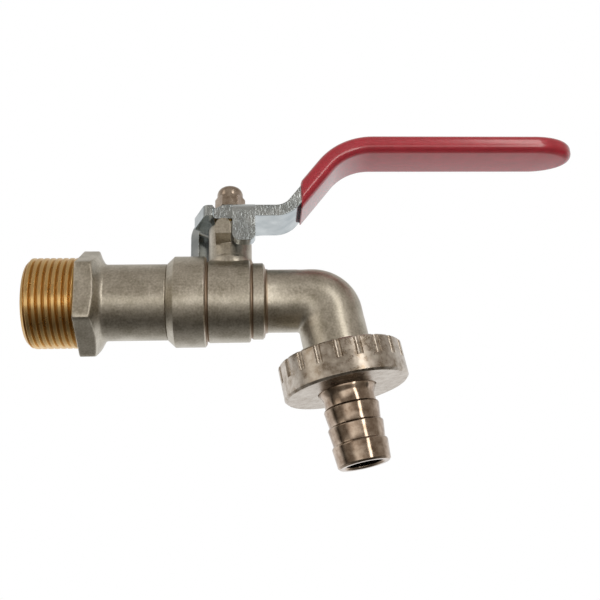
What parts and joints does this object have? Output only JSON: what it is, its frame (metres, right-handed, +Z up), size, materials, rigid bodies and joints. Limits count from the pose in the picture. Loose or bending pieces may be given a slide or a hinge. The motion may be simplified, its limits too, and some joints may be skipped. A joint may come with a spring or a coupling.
{
  "type": "lever ball bib tap",
  "caption": "Quarter-turn ball bib tap with a threaded hex inlet, bent spout, slotted union nut with a barbed hose tail, and a cranked steel lever with a dipped grip.",
  "frame": {"origin": "on the inlet axis where the rim of a screwed-on pipe socket comes to rest, 3.4 mm before the hex face", "axes": "+X along the inlet axis toward the spout, +Z up the lever stem, +Y to the back of the tap"},
  "size_m": [0.1678, 0.0362, 0.1031],
  "materials": {
    "satin_nickel": "satin nickel plate on blasted brass",
    "bright_nickel": "polished nickel plate on turned brass",
    "zinc_steel": "zinc-plated pressed steel",
    "red_vinyl": "glossy dipped vinyl",
    "ptfe": "waxy white",
    "black_rubber": "matt",
    "chrome_ball": "mirror",
    "turned_brass": "machined",
    "nylon": "plain"
  },
  "bodies": {
    "tap": {"inlet_connector": "satin_nickel", "body": "satin_nickel", "seat_inlet": "ptfe", "seat_outlet": "ptfe", "thrust_washer": "ptfe", "stem_packing": "ptfe", "gland_nut": "turned_brass"},
    "lever_set": {"lever": "zinc_steel", "grip": "red_vinyl", "stem": "turned_brass", "ball": "chrome_ball", "spring_washer": "zinc_steel", "lever_nut": "zinc_steel", "nut_insert": "nylon"},
    "tail_set": {"hose_tail": "bright_nickel", "tail_washer": "black_rubber"},
    "union": {"union_nut": "bright_nickel"}
  },
  "joints": [
    {"name": "lever_turn", "type": "hinge", "parent": "tap", "child": "lever_set", "pos_m": [0.0466, 0, 0.02], "axis": [0, 0, 1], "range_deg": [0, 90]},
    {"name": "union_drop", "type": "slide", "parent": "tap", "child": "tail_set", "axis": [0.1736, 0, -0.9848], "range_m": [0, 0.00462]},
    {"name": "union_nut_turn", "type": "hinge", "parent": "tail_set", "child": "union", "pos_m": [0.07907, 0, -0.02363], "axis": [0.1736, 0, -0.9848], "range_deg": [0, 720]}
  ],
  "couplings": [
    {"joint": "union_nut_turn", "follows": "union_drop", "rad_per_m": 2721.2}
  ]
}
